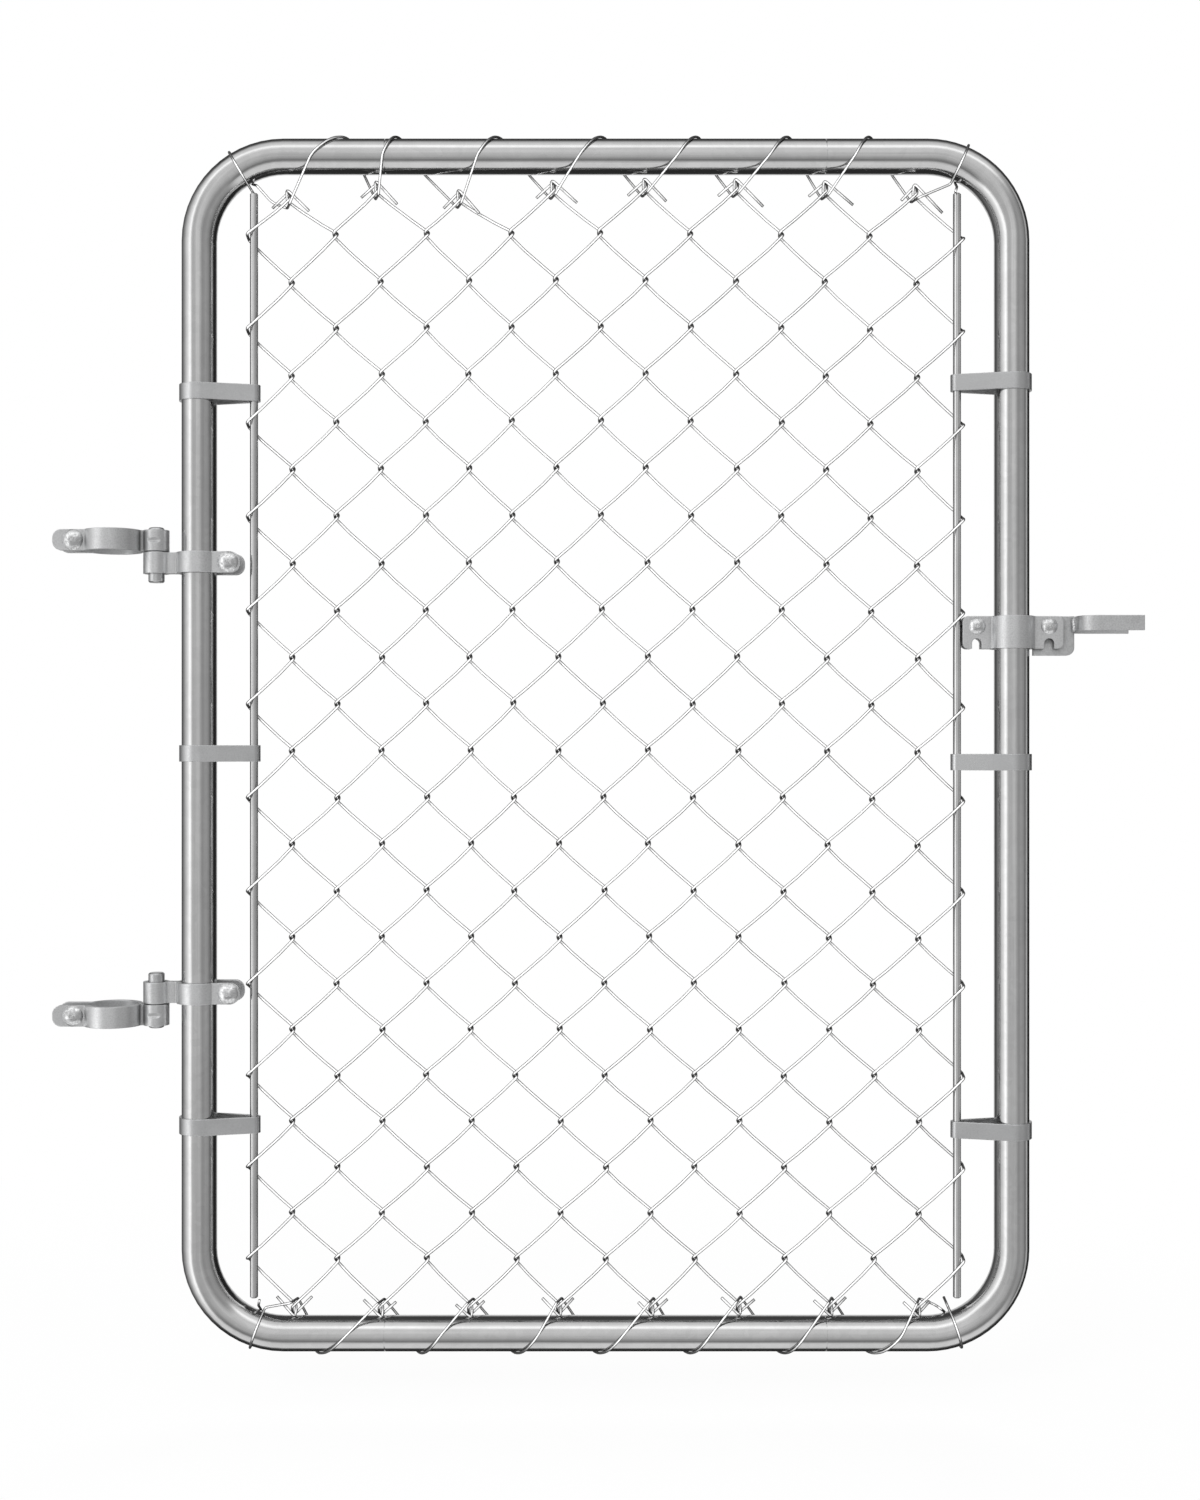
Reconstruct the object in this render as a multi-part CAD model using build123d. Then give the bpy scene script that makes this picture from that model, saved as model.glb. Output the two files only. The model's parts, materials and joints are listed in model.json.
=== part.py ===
from build123d import *
from math import acos, cos, degrees, radians, sin, tan
import os

# Chain link gate, in millimetres. X runs to the latch side, Y to the back, Z up.
# The origin is on the axis of the hinge post, half way up the lower post strap.

# Hinge line: a round post, the pins and the hinge-side tube stand side by side.
post_diameter = 47.6
post_play = 0.1
pin_diameter = 15.9
pin_play = 0.25
pin_offset = 43.0
gate_offset = 42.85
hinge_height = 472.8
hinge_step = 22.2
pin_dome = 3.0
pin_tail = 8.8
pin_chamfer = 1.2
stake_length = 13.0
stake_width = 5.0

# Hinge straps, bent from flat bar.
strap_thickness = 4.76
strap_height = 21.0
strap_bend = 1.6
strap_corner = 9.0
neck_gap = 1.0
post_flange_gap = 18.0
post_flange_reach = 57.3
post_bolt_reach = 37.2
gate_flange_gap = 22.0
gate_flange_reach = 42.5
gate_bolt_reach = 31.4

# Gate frame: two bent side tubes joined by two straight rails with reduced ends.
tube_diameter = 34.9
tube_wall = 1.65
frame_width = 847.0
frame_height = 1211.0
frame_top = 874.5
corner_radius = 85.0
side_leg = 203.5
spigot_length = 45.0
seam_gap = 0.8

# Tension bars and the bands that tie them to the tubes.
bar_diameter = 8.0
bar_inset = 54.6
bar_top_gap = 19.1
bar_bottom_gap = 18.1
bar_chamfer = 1.0
band_thickness = 2.3
band_width = 16.3
band_play = 0.2
band_slit = 0.8
left_band_heights = (620.3, 260.6, -110.0)
right_band_heights = (630.6, 251.9, -114.9)

# Woven wire mesh.
wire_diameter = 2.9
picket_count = 16
mesh_top_gap = 12.6
mesh_bottom_gap = 7.8
nominal_rise = 46.7
hook_reach = 1.65
hook_rise = 1.7
mesh_half_depth = 3.1
hook_bend = 3.6
knuckle_rise = 8.2
knuckle_set = 2.4
knuckle_bend = 2.4
tail_length = 23.0
bar_hook_play = 0.7

# Lacing wire round the top and the bottom rail.
lacing_diameter = 2.6
lacing_play = 0.25
lacing_drop = 8.0
lacing_bend = 16.0
lacing_kink = 3.0
lacing_pass = ((-2.5, 8.5), (2.5, -8.5))
lacing_advance = (0.05, 0.12, 0.21, 0.31, 0.45)
last_turn_pitch = 36.0
tie_drop = 22.5
tie_pitch = 7.0
tie_tail = 8.0
top_tie_angles = (57.5, 67.5)
bottom_tie_angles = (76.5, 72.0)

# Carriage bolts and nuts.
hinge_bolt_diameter = 9.5
hinge_head_diameter = 20.9
hinge_head_height = 4.8
hinge_nut_width = 14.3
hinge_nut_height = 8.2
latch_bolt_diameter = 7.9
latch_head_diameter = 16.8
latch_head_height = 4.0
latch_nut_width = 12.7
latch_nut_height = 6.8
bolt_play = 0.3
nut_play = 0.1
thread_end = 3.0

# Fork latch on the latch-side tube.
collar_height = 32.5
collar_reach = 50.3
collar_corner = 6.0
collar_middle = 381.2
latch_bolt_rise = 6.3
latch_bolt_reach = 36.0
notch_width = 10.0
notch_rise = 10.3
fork_plate_thickness = 4.0
fork_side_play = 0.6
fork_plate_left = 15.0
fork_plate_right = 26.2
fork_plate_above = 10.0
fork_plate_below = 29.2
fork_plate_corner = 8.0
tine_thickness = 3.2
tine_height = 14.9
tine_rise = 2.0
tine_gap = 52.0
tine_reach = 88.6
tine_bend = 14.0
weld_size = 3.4

post_bore = post_diameter / 2 + post_play
pin_radius = pin_diameter / 2
tube_radius = tube_diameter / 2
wire_radius = wire_diameter / 2
bar_radius = bar_diameter / 2
lacing_radius = lacing_diameter / 2
left_axis = pin_offset + gate_offset
right_axis = left_axis + frame_width - tube_diameter
top_axis = frame_top - tube_radius
bottom_axis = top_axis - frame_height + tube_diameter
left_seam = left_axis - tube_radius + side_leg
right_seam = right_axis + tube_radius - side_leg
mesh_room_top = frame_top - tube_diameter
mesh_room_bottom = frame_top - frame_height + tube_diameter
left_bar = left_axis + bar_inset
right_bar = right_axis - bar_inset
bar_top = mesh_room_top - bar_top_gap
bar_bottom = mesh_room_bottom + bar_bottom_gap
mesh_top = mesh_room_top - mesh_top_gap
mesh_bottom = mesh_room_bottom + mesh_bottom_gap
run_count = 2 * round((mesh_top - mesh_bottom) / (2 * nominal_rise))
half_rise = (mesh_top - mesh_bottom) / run_count
latch_gap = fork_plate_thickness + 2 * fork_side_play
pivot_x = right_axis + latch_bolt_reach
pivot_z = collar_middle + latch_bolt_rise


def rounded_path(points, bends):
    """Straight runs through the points, joined by tangent arcs of at most the given radii."""
    corners = [Vector(*point) for point in points]
    edges = []
    start = corners[0]
    for index in range(1, len(corners) - 1):
        corner = corners[index]
        arriving = corner - corners[index - 1]
        leaving = corners[index + 1] - corner
        half_turn = radians(arriving.get_angle(leaving)) / 2
        room = 0.48 * min(arriving.length, leaving.length)
        bend = min(bends[index - 1], room / tan(half_turn))
        reach = bend * tan(half_turn)
        arc_start = corner - arriving.normalized() * reach
        arc_end = corner + leaving.normalized() * reach
        inward = (leaving.normalized() - arriving.normalized()).normalized()
        arc_middle = corner + inward * (bend / cos(half_turn) - bend)
        edges.append(Edge.make_line(start, arc_start))
        edges.append(Edge.make_three_point_arc(arc_start, arc_middle, arc_end))
        start = arc_end
    edges.append(Edge.make_line(start, corners[-1]))
    return Wire(edges)


def round_bar(path, radius):
    """Round wire or tube that follows a path."""
    section = Plane(origin=path @ 0, z_dir=path % 0) * Circle(radius)
    return sweep(section, path=path)


def upright(sketch, height, middle):
    """Plan drawing raised by a height about its middle level."""
    return Pos(0, 0, middle - height / 2) * extrude(sketch, height)


def cross_bolt_hole(x, z, radius, depth=200.0):
    """Round cutter that runs from front to back."""
    return Pos(x, 0, z) * Rot(90, 0, 0) * Cylinder(radius, depth)


def bent_strap(core, thickness):
    """Plan of a strap of even thickness bent round a core."""
    return offset(core, amount=thickness) - core


def keyhole(rounds, slits, bend):
    """Plan of the space inside a bent strap: circles joined by slits, with rounded mouths."""
    shape = Sketch()
    for x, radius in rounds:
        shape += Pos(x, 0) * Circle(radius)
    ends = []
    for x_from, x_to, gap in slits:
        shape += Pos((x_from + x_to) / 2, 0) * Rectangle(x_to - x_from, gap)
        ends += [x_from, x_to]
    mouths = [v for v in shape.vertices() if min(abs(v.X - x) for x in ends) > 0.01]
    mouths = [v for v in mouths if abs(v.Y) > 0.01]
    return fillet(mouths, bend)


def end_rounder(near, far, height, middle, corner):
    """Block with rounded corners at its far end, to trim a flange to."""
    plan = Pos((near + far) / 2, middle) * Rectangle(abs(far - near), height)
    rounded = [v for v in plan.vertices() if abs(v.X - far) < 0.01]
    face = fillet(rounded, corner)
    return extrude(Plane.XZ * face, 100.0, both=True)


def carriage_bolt(x, z, face, shank_diameter, head_diameter, head_height, nut_height):
    """Domed bolt pushed in from the front, long enough for its nut at the back."""
    dome_radius = (head_diameter**2 / 4 + head_height**2) / (2 * head_height)
    dome = Pos(0, 0, head_height - dome_radius) * Sphere(dome_radius)
    head = dome & Pos(0, 0, head_height / 2) * Cylinder(head_diameter / 2, head_height)
    length = 2 * face + nut_height + thread_end
    shank = Pos(0, 0, -length / 2) * Cylinder(shank_diameter / 2, length)
    shank = chamfer(shank.edges().group_by(Axis.Z)[0], 0.8)
    return Pos(x, -face, z) * Rot(90, 0, 0) * (head + shank)


def hex_nut(x, z, face, shank_diameter, width, height):
    """Hexagon nut against the back face of a flange."""
    blank = extrude(RegularPolygon(width / 2, 6, major_radius=False), height)
    bevel = Pos(0, 0, height / 2) * Cylinder(width * 0.56, height)
    bevel = chamfer(bevel.edges().group_by(Axis.Z)[-1], 0.9)
    nut = (blank & bevel) - Cylinder(shank_diameter / 2 + nut_play, 3 * height)
    return Pos(x, face, z) * Rot(-90, 0, 0) * nut


post_face = post_flange_gap / 2 + strap_thickness
gate_face = gate_flange_gap / 2 + strap_thickness
latch_face = latch_gap / 2 + strap_thickness


def post_strap(middle):
    """Strap that grips the post and the pin, closed by one bolt beyond the post."""
    core = keyhole(
        ((0, post_bore), (pin_offset, pin_radius)),
        ((-2 * post_flange_reach, 0, post_flange_gap), (0, pin_offset, neck_gap)),
        strap_thickness + strap_bend,
    )
    reach = pin_offset + pin_radius + 2 * strap_thickness
    solid = upright(bent_strap(core, strap_thickness), strap_height, middle)
    solid &= end_rounder(reach, -post_flange_reach, strap_height, middle, strap_corner)
    solid -= cross_bolt_hole(-post_bolt_reach, middle, hinge_bolt_diameter / 2 + bolt_play)
    return solid - stake_mark(middle)


def stake_mark(middle):
    """Round-nosed punch that leaves a shallow oval in the front of the barrel, to lock the pin."""
    barrel = pin_radius + strap_thickness
    depth = barrel - (barrel**2 - stake_length**2 / 4) ** 0.5
    nose = (stake_width**2 / 4 + depth**2) / (2 * depth)
    punch = Rot(0, 90, 0) * Cylinder(nose, 2 * stake_length)
    return Pos(pin_offset, depth - barrel - nose, middle) * punch


def gate_strap(middle):
    """Strap that turns on the pin and grips the hinge-side tube."""
    core = keyhole(
        ((pin_offset, pin_radius + pin_play), (left_axis, tube_radius)),
        (
            (pin_offset, left_axis, neck_gap),
            (left_axis, left_axis + 2 * gate_flange_reach, gate_flange_gap),
        ),
        strap_thickness + strap_bend,
    )
    back = pin_offset - pin_radius - 2 * strap_thickness
    flange_end = left_axis + gate_flange_reach
    solid = upright(bent_strap(core, strap_thickness), strap_height, middle)
    solid &= end_rounder(back, flange_end, strap_height, middle, strap_corner)
    bolt_x = left_axis + gate_bolt_reach
    return solid - cross_bolt_hole(bolt_x, middle, hinge_bolt_diameter / 2 + bolt_play)


def hinge_pin(post_middle, toward_gate):
    """Pin held in the post strap: a dome on one end, a long tail through the gate strap."""
    dome_end = strap_height / 2 + pin_dome
    tail_end = hinge_step + strap_height / 2 + pin_tail
    length = dome_end + tail_end
    pin = Pos(0, 0, (tail_end - dome_end) / 2) * Cylinder(pin_radius, length)
    pin = chamfer(pin.edges().group_by(Axis.Z)[-1], pin_chamfer)
    pin = fillet(pin.edges().group_by(Axis.Z)[0], pin_dome * 0.9)
    turn = Rot(0, 0, 0) if toward_gate > 0 else Rot(180, 0, 0)
    return Pos(pin_offset, 0, post_middle) * turn * pin


def side_tube(axis_x, seam_x):
    """Side of the frame: one tube bent at both corners."""
    inward = corner_radius if seam_x > axis_x else -corner_radius
    path = Wire(
        [
            Edge.make_line((seam_x, 0, top_axis), (axis_x + inward, 0, top_axis)),
            corner_arc(axis_x, inward, top_axis, -corner_radius),
            Edge.make_line(
                (axis_x, 0, top_axis - corner_radius),
                (axis_x, 0, bottom_axis + corner_radius),
            ),
            corner_arc(axis_x, inward, bottom_axis, corner_radius),
            Edge.make_line((axis_x + inward, 0, bottom_axis), (seam_x, 0, bottom_axis)),
        ]
    )
    return round_bar(path, tube_radius) - round_bar(path, tube_radius - tube_wall)


def corner_arc(axis_x, inward, rail_z, vertical):
    """Quarter bend between a rail and a side."""
    ends = [(axis_x + inward, 0, rail_z), (axis_x, 0, rail_z + vertical)]
    if vertical > 0:
        ends.reverse()
    swing = sin(radians(45))
    middle = (axis_x + inward * (1 - swing), 0, rail_z + vertical * (1 - swing))
    return Edge.make_three_point_arc(ends[0], middle, ends[1])


def straight_rail(rail_z):
    """Straight rail whose reduced ends slide into the side tubes."""
    bore = tube_radius - tube_wall
    length = right_seam - left_seam
    body = Cylinder(tube_radius, length - 2 * seam_gap) - Cylinder(bore - tube_wall, length)
    sleeve = Cylinder(bore, length + 2 * spigot_length)
    sleeve -= Cylinder(bore - tube_wall, length + 2 * spigot_length)
    rail = Rot(0, 90, 0) * (body + sleeve)
    return Pos((left_seam + right_seam) / 2, 0, rail_z) * rail


def tension_bar(x):
    """Round bar threaded down the end loops of the mesh."""
    length = bar_top - bar_bottom
    bar = chamfer(Cylinder(bar_radius, length).edges().filter_by(GeomType.CIRCLE), bar_chamfer)
    return Pos(x, 0, (bar_top + bar_bottom) / 2) * bar


def tension_band(tube_x, bar_x, middle):
    """Strap drawn round the tube and the bar, its two ends meeting behind the bar."""
    circles = [Circle(tube_radius), Pos(bar_x - tube_x, 0) * Circle(bar_radius + band_play)]
    core = Sketch() + make_hull([circle.edge() for circle in circles])
    band = bent_strap(core, band_thickness)
    band -= Pos(bar_x - tube_x, bar_diameter) * Rectangle(band_slit, bar_diameter)
    return Pos(tube_x, 0, 0) * upright(band, band_width, middle)


def column_x(column):
    """Place of a column of knots between the two tension bars."""
    hook = bar_radius + bar_hook_play + wire_radius
    first = left_bar - hook
    last = right_bar + hook
    return first + (last - first) * column / picket_count


def hook_points(picket, vertex):
    """Upper and lower corner of the turn that a wire makes at a knot or round a bar."""
    right_side = (picket + vertex) % 2 == 0
    side = 1 if right_side else -1
    column = picket + 1 if right_side else picket
    z = mesh_top - half_rise * vertex
    x = column_x(column)
    reach = hook_reach
    depth = mesh_half_depth
    if column in (0, picket_count):
        reach = 0
        depth = bar_radius + bar_hook_play + wire_radius
    over = {0: knuckle_rise, run_count: knuckle_set}.get(vertex, hook_rise)
    under = {0: knuckle_set, run_count: knuckle_rise}.get(vertex, hook_rise)
    upper = (x + side * reach, side * depth, z + over)
    lower = (x + side * reach, -side * depth, z - under)
    return side, upper, lower


def tail_point(side, corner, vertical):
    """End of the short tail that is bent back along its own wire."""
    slope = Vector(column_x(1) - column_x(0), 0, half_rise).normalized() * tail_length
    return (corner[0] - side * slope.X, corner[1], corner[2] + vertical * slope.Z)


def picket_wire(picket):
    """One wire of the mesh: a flattened coil that hooks both neighbours at every turn."""
    points = []
    bends = []
    for vertex in range(run_count + 1):
        side, upper, lower = hook_points(picket, vertex)
        if vertex == 0:
            points.append(tail_point(side, upper, -1))
        points += [upper, lower]
        bends.append(knuckle_bend if vertex == 0 else hook_bend)
        bends.append(knuckle_bend if vertex == run_count else hook_bend)
        if vertex == run_count:
            points.append(tail_point(side, lower, 1))
    return round_bar(rounded_path(points, bends), wire_radius)


def lacing_seat(x, z, outward):
    """Place on a rail's or a corner's axis, looking out of the gate, with the lacing's way as X."""
    out = Vector(outward[0], 0, outward[1])
    return Plane(origin=(x, 0, z), x_dir=Vector(0, 1, 0).cross(out), z_dir=out)


def corner_seat(side, up, angle):
    """Place of a tie round the middle of a frame corner, at an angle from the level."""
    outward = (side * cos(radians(angle)), up * sin(radians(angle)))
    bend_x = left_axis + corner_radius if side < 0 else right_axis - corner_radius
    bend_z = top_axis - corner_radius if up > 0 else bottom_axis + corner_radius
    return lacing_seat(
        bend_x + corner_radius * outward[0],
        bend_z + corner_radius * outward[1],
        outward,
    )


def lacing_turn(seat, pitch, drop, passes):
    """Corners and bends of one turn: through the mesh, up the front of a rail, down its back."""
    ring = tube_radius + lacing_play + lacing_radius
    first = degrees(acos(ring / drop))
    step = (360 - 2 * first) / len(lacing_advance)
    radius = ring / cos(radians(step / 2))
    turn = [(seat.from_local_coords((x, y, -drop)), lacing_kink) for x, y in passes]
    for index, advance in enumerate(lacing_advance):
        angle = radians(first + step * (index + 0.5))
        local = (pitch * advance, -radius * sin(angle), -radius * cos(angle))
        turn.append((seat.from_local_coords(local), lacing_bend))
    return turn


def lacing_tie(seat):
    """One tight turn round a corner of the frame, back to where it started."""
    closing = (seat.from_local_coords((tie_pitch, 0, -tie_drop)), lacing_kink)
    return lacing_turn(seat, tie_pitch, tie_drop, ((0, 0),)) + [closing]


def lacing_wire(rail_z, up, knuckle_z, ties):
    """Wire tied round a corner, laced through the knuckles round a rail and tied again."""
    knots = [column_x(column) for column in range(1, picket_count, 2)]
    if up < 0:
        knots.reverse()
    drop = abs(rail_z - knuckle_z) + lacing_drop
    pitch = abs(knots[1] - knots[0])
    behind = tube_radius + lacing_diameter + lacing_play
    tie = corner_seat(-up, up, ties[0])
    seat = lacing_seat(knots[0], rail_z, (0, up))
    start = tie.from_local_coords((0, tie_tail, -tie_drop - tie_tail))
    route = lacing_tie(tie)
    route.append((seat.from_local_coords((-18, 9, 6 - drop)), lacing_bend))
    for x in knots:
        seat = lacing_seat(x, rail_z, (0, up))
        advance = last_turn_pitch if x == knots[-1] else pitch
        route += lacing_turn(seat, advance, drop, lacing_pass)
    tie = corner_seat(up, up, ties[1])
    route.append((tie.from_local_coords((-tie_pitch, behind, -0.8 * tube_radius)), lacing_bend))
    route += lacing_tie(tie)
    end = tie.from_local_coords((tie_pitch, -tie_tail, -tie_drop - tie_tail))
    points = [start] + [point for point, bend in route] + [end]
    bends = [bend for point, bend in route]
    return round_bar(rounded_path(points, bends), lacing_radius)


def latch_collar(front):
    """Half of the latch collar: two flanges with notches and the curve round the tube."""
    reach = collar_reach + 50
    core = keyhole(
        ((0, tube_radius),),
        ((-reach, reach, latch_gap),),
        strap_thickness + strap_bend,
    )
    ring = bent_strap(core, strap_thickness)
    solid = upright(ring, collar_height, collar_middle)
    outline = fillet(Rectangle(2 * collar_reach, collar_height).vertices(), collar_corner)
    for side in (-1, 1):
        slot = Pos(side * latch_bolt_reach, -collar_height / 2) * Rectangle(
            notch_width, 2 * (notch_rise - notch_width / 2)
        )
        crown = Pos(
            side * latch_bolt_reach, -collar_height / 2 + notch_rise - notch_width / 2
        ) * Circle(notch_width / 2)
        outline -= slot + crown
        hole_place = Pos(side * latch_bolt_reach, latch_bolt_rise)
        outline -= hole_place * Circle(latch_bolt_diameter / 2 + bolt_play)
    solid &= extrude(Plane.XZ * Pos(0, collar_middle) * outline, 100.0, both=True)
    half = Pos(0, -100 if front else 100, collar_middle) * Box(400, 200, 100)
    return Pos(right_axis, 0, 0) * (solid & half)


def fork_plate():
    """Plate that turns on the pivot bolt between the collar's flanges."""
    width = fork_plate_left + fork_plate_right
    height = fork_plate_above + fork_plate_below
    middle_x = (fork_plate_right - fork_plate_left) / 2
    middle_z = (fork_plate_above - fork_plate_below) / 2
    plan = Pos(middle_x, middle_z) * Rectangle(width, height)
    corners = plan.vertices().sort_by(Axis.X)
    left = corners[:2].sort_by(Axis.Y)
    right = corners[2:].sort_by(Axis.Y)
    plan = fillet([left[1], right[0]], fork_plate_corner)
    plan -= Circle(latch_bolt_diameter / 2 + bolt_play)
    plate = extrude(Plane.XZ * plan, fork_plate_thickness / 2, both=True)
    return Pos(pivot_x, 0, pivot_z) * plate


def fork_tines():
    """Flat bar bent to a U that closes round the latch post, with its weld to the plate."""
    outer = tine_gap / 2 + tine_thickness
    base = fork_plate_right
    bent = Pos((base + 2 * tine_reach) / 2, 0) * Rectangle(2 * tine_reach - base, 2 * outer)
    corners = [v for v in bent.vertices() if v.X < base + 1]
    bent = fillet(corners, tine_bend + tine_thickness)
    inner = Pos((base + tine_thickness + 2 * tine_reach) / 2, 0) * Rectangle(
        2 * tine_reach - base - tine_thickness, tine_gap
    )
    inner_corners = [v for v in inner.vertices() if v.X < base + tine_thickness + 1]
    bent -= fillet(inner_corners, tine_bend)
    bent &= Pos(tine_reach / 2, 0) * Rectangle(tine_reach, 3 * outer)
    weld = Pos(base, 0) * Rectangle(2 * weld_size, fork_plate_thickness + 2 * weld_size)
    weld = chamfer(weld.vertices(), weld_size * 0.99)
    weld &= Pos(base - weld_size, 0) * Rectangle(2 * weld_size, 4 * weld_size)
    bent += weld - Rectangle(2 * base, fork_plate_thickness)
    strap = upright(bent, tine_height, tine_rise)
    return Pos(pivot_x, 0, pivot_z) * strap


bolt_sizes = (hinge_bolt_diameter, hinge_head_diameter, hinge_head_height, hinge_nut_height)
latch_sizes = (latch_bolt_diameter, latch_head_diameter, latch_head_height, latch_nut_height)
nut_sizes = (hinge_bolt_diameter, hinge_nut_width, hinge_nut_height)
latch_nut_sizes = (latch_bolt_diameter, latch_nut_width, latch_nut_height)
gate_bolt_x = left_axis + gate_bolt_reach

pieces = {
    "left_side_tube": side_tube(left_axis, left_seam),
    "right_side_tube": side_tube(right_axis, right_seam),
    "top_rail": straight_rail(top_axis),
    "bottom_rail": straight_rail(bottom_axis),
    "left_tension_bar": tension_bar(left_bar),
    "right_tension_bar": tension_bar(right_bar),
    "latch_collar_front": latch_collar(True),
    "latch_collar_back": latch_collar(False),
    "fork_plate": fork_plate(),
    "fork_tines": fork_tines(),
    "top_lacing_wire": lacing_wire(top_axis, 1, mesh_top, top_tie_angles),
    "bottom_lacing_wire": lacing_wire(bottom_axis, -1, mesh_bottom, bottom_tie_angles),
}

for level, post_z, toward_gate in (("upper", hinge_height, -1), ("lower", 0.0, 1)):
    gate_z = post_z + toward_gate * hinge_step
    pieces[level + "_post_strap"] = post_strap(post_z)
    pieces[level + "_hinge_pin"] = hinge_pin(post_z, toward_gate)
    pieces[level + "_post_bolt"] = carriage_bolt(-post_bolt_reach, post_z, post_face, *bolt_sizes)
    pieces[level + "_post_nut"] = hex_nut(-post_bolt_reach, post_z, post_face, *nut_sizes)
    pieces[level + "_gate_strap"] = gate_strap(gate_z)
    pieces[level + "_gate_bolt"] = carriage_bolt(gate_bolt_x, gate_z, gate_face, *bolt_sizes)
    pieces[level + "_gate_nut"] = hex_nut(gate_bolt_x, gate_z, gate_face, *nut_sizes)

for level, left, right in zip(("upper", "middle", "lower"), left_band_heights, right_band_heights):
    pieces["left_" + level + "_band"] = tension_band(left_axis, left_bar, left)
    pieces["right_" + level + "_band"] = tension_band(right_axis, right_bar, right)

for name, x in (("latch_pivot", pivot_x), ("latch_clamp", right_axis - latch_bolt_reach)):
    pieces[name + "_bolt"] = carriage_bolt(x, pivot_z, latch_face, *latch_sizes)
    pieces[name + "_nut"] = hex_nut(x, pivot_z, latch_face, *latch_nut_sizes)

pieces["chain_link_mesh"] = Compound([picket_wire(i) for i in range(picket_count)])

os.makedirs("parts", exist_ok=True)
for name, piece in pieces.items():
    piece.label = name
    export_step(piece, "parts/" + name + ".step")
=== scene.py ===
"""Chain link walk gate: the zinc finishes, the woven wire and the fine detail round the fixed frame."""

import json
import logging
import math
import random
from dataclasses import dataclass, field
from enum import Enum

import bpy
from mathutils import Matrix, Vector


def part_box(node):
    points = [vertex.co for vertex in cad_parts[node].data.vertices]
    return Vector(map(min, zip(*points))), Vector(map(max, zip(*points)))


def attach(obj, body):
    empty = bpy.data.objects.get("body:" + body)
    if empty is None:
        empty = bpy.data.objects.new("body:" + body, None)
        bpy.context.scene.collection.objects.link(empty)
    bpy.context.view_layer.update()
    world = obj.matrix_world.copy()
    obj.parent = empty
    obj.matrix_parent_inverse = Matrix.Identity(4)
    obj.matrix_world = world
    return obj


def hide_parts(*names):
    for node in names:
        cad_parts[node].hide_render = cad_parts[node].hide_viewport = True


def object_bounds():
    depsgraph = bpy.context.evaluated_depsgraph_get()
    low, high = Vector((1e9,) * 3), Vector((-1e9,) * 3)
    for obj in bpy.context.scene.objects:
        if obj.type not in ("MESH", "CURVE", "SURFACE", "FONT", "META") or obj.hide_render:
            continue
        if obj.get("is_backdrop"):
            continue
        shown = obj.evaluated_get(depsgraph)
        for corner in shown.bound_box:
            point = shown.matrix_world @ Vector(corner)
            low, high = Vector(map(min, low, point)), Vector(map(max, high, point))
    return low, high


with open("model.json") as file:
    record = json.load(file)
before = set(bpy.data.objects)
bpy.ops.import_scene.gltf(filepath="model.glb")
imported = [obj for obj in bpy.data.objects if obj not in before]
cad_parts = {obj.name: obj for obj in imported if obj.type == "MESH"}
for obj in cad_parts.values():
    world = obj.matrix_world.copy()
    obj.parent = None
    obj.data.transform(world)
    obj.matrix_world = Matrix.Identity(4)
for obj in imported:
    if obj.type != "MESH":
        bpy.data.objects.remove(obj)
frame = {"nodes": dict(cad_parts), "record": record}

log = logging.getLogger("gate")
MM = 0.001
Socket = bpy.types.NodeSocket
Tree = bpy.types.NodeTree
Colour = tuple[float, float, float, float]
Steps = tuple[tuple[float, float], ...]


class Body(Enum):
    """The bodies that the pieces ride on."""

    POST = "post_hinges"
    LEAF = "gate_leaf"
    FORK = "fork"


def middle(node: str) -> Vector:
    """Centre of a node's box."""
    low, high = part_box(node)
    return (low + high) / 2


def size(node: str) -> Vector:
    """Length of a node's box along X, Y and Z."""
    low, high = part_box(node)
    return high - low


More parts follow.
